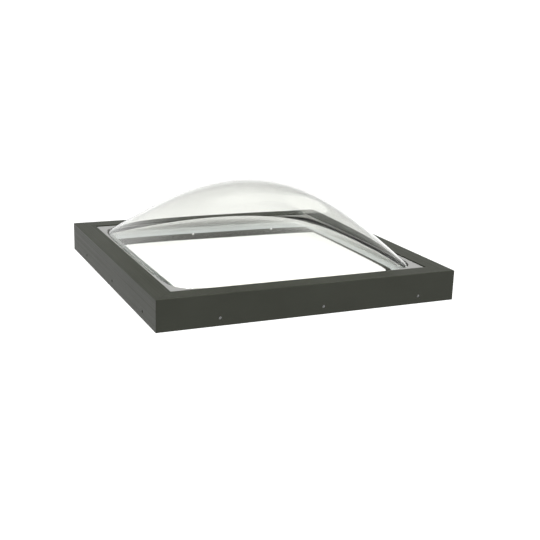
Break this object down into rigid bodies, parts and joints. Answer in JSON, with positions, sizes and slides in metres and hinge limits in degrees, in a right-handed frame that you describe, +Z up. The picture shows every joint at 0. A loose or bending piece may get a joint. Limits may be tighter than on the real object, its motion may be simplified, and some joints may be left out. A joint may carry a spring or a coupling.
{
  "type": "roof skylight",
  "caption": "Fixed square roof skylight for a roof curb: clear double acrylic dome in a dark mitred aluminium retainer, with a pale curb frame, condensation gutter and screw holes in the skirt.",
  "frame": {"origin": "middle of the square frame, at the skirt's lower edge", "axes": "+X to the right along the front, +Y to the back, +Z up through the domes' crowns"},
  "size_m": [0.667, 0.667, 0.214],
  "materials": {
    "bronze_aluminium": "satin",
    "pale_grey_frame": "satin",
    "clear_acrylic": "gloss",
    "pale_rubber": "matte",
    "pale_tape": "matte",
    "dark_foam": "matte",
    "key_metal": "satin"
  },
  "bodies": {
    "root": {"retainer_front": "bronze_aluminium", "retainer_right": "bronze_aluminium", "retainer_rear": "bronze_aluminium", "retainer_left": "bronze_aluminium", "retainer_keys": "key_metal", "glazing_gasket": "pale_rubber", "outer_dome": "clear_acrylic", "spacer_tape": "pale_tape", "inner_dome": "clear_acrylic", "bedding_tape": "pale_tape", "curb_frame_front": "pale_grey_frame", "curb_frame_right": "pale_grey_frame", "curb_frame_rear": "pale_grey_frame", "curb_frame_left": "pale_grey_frame", "curb_keys": "key_metal", "curb_seal": "dark_foam"}
  },
  "joints": []
}
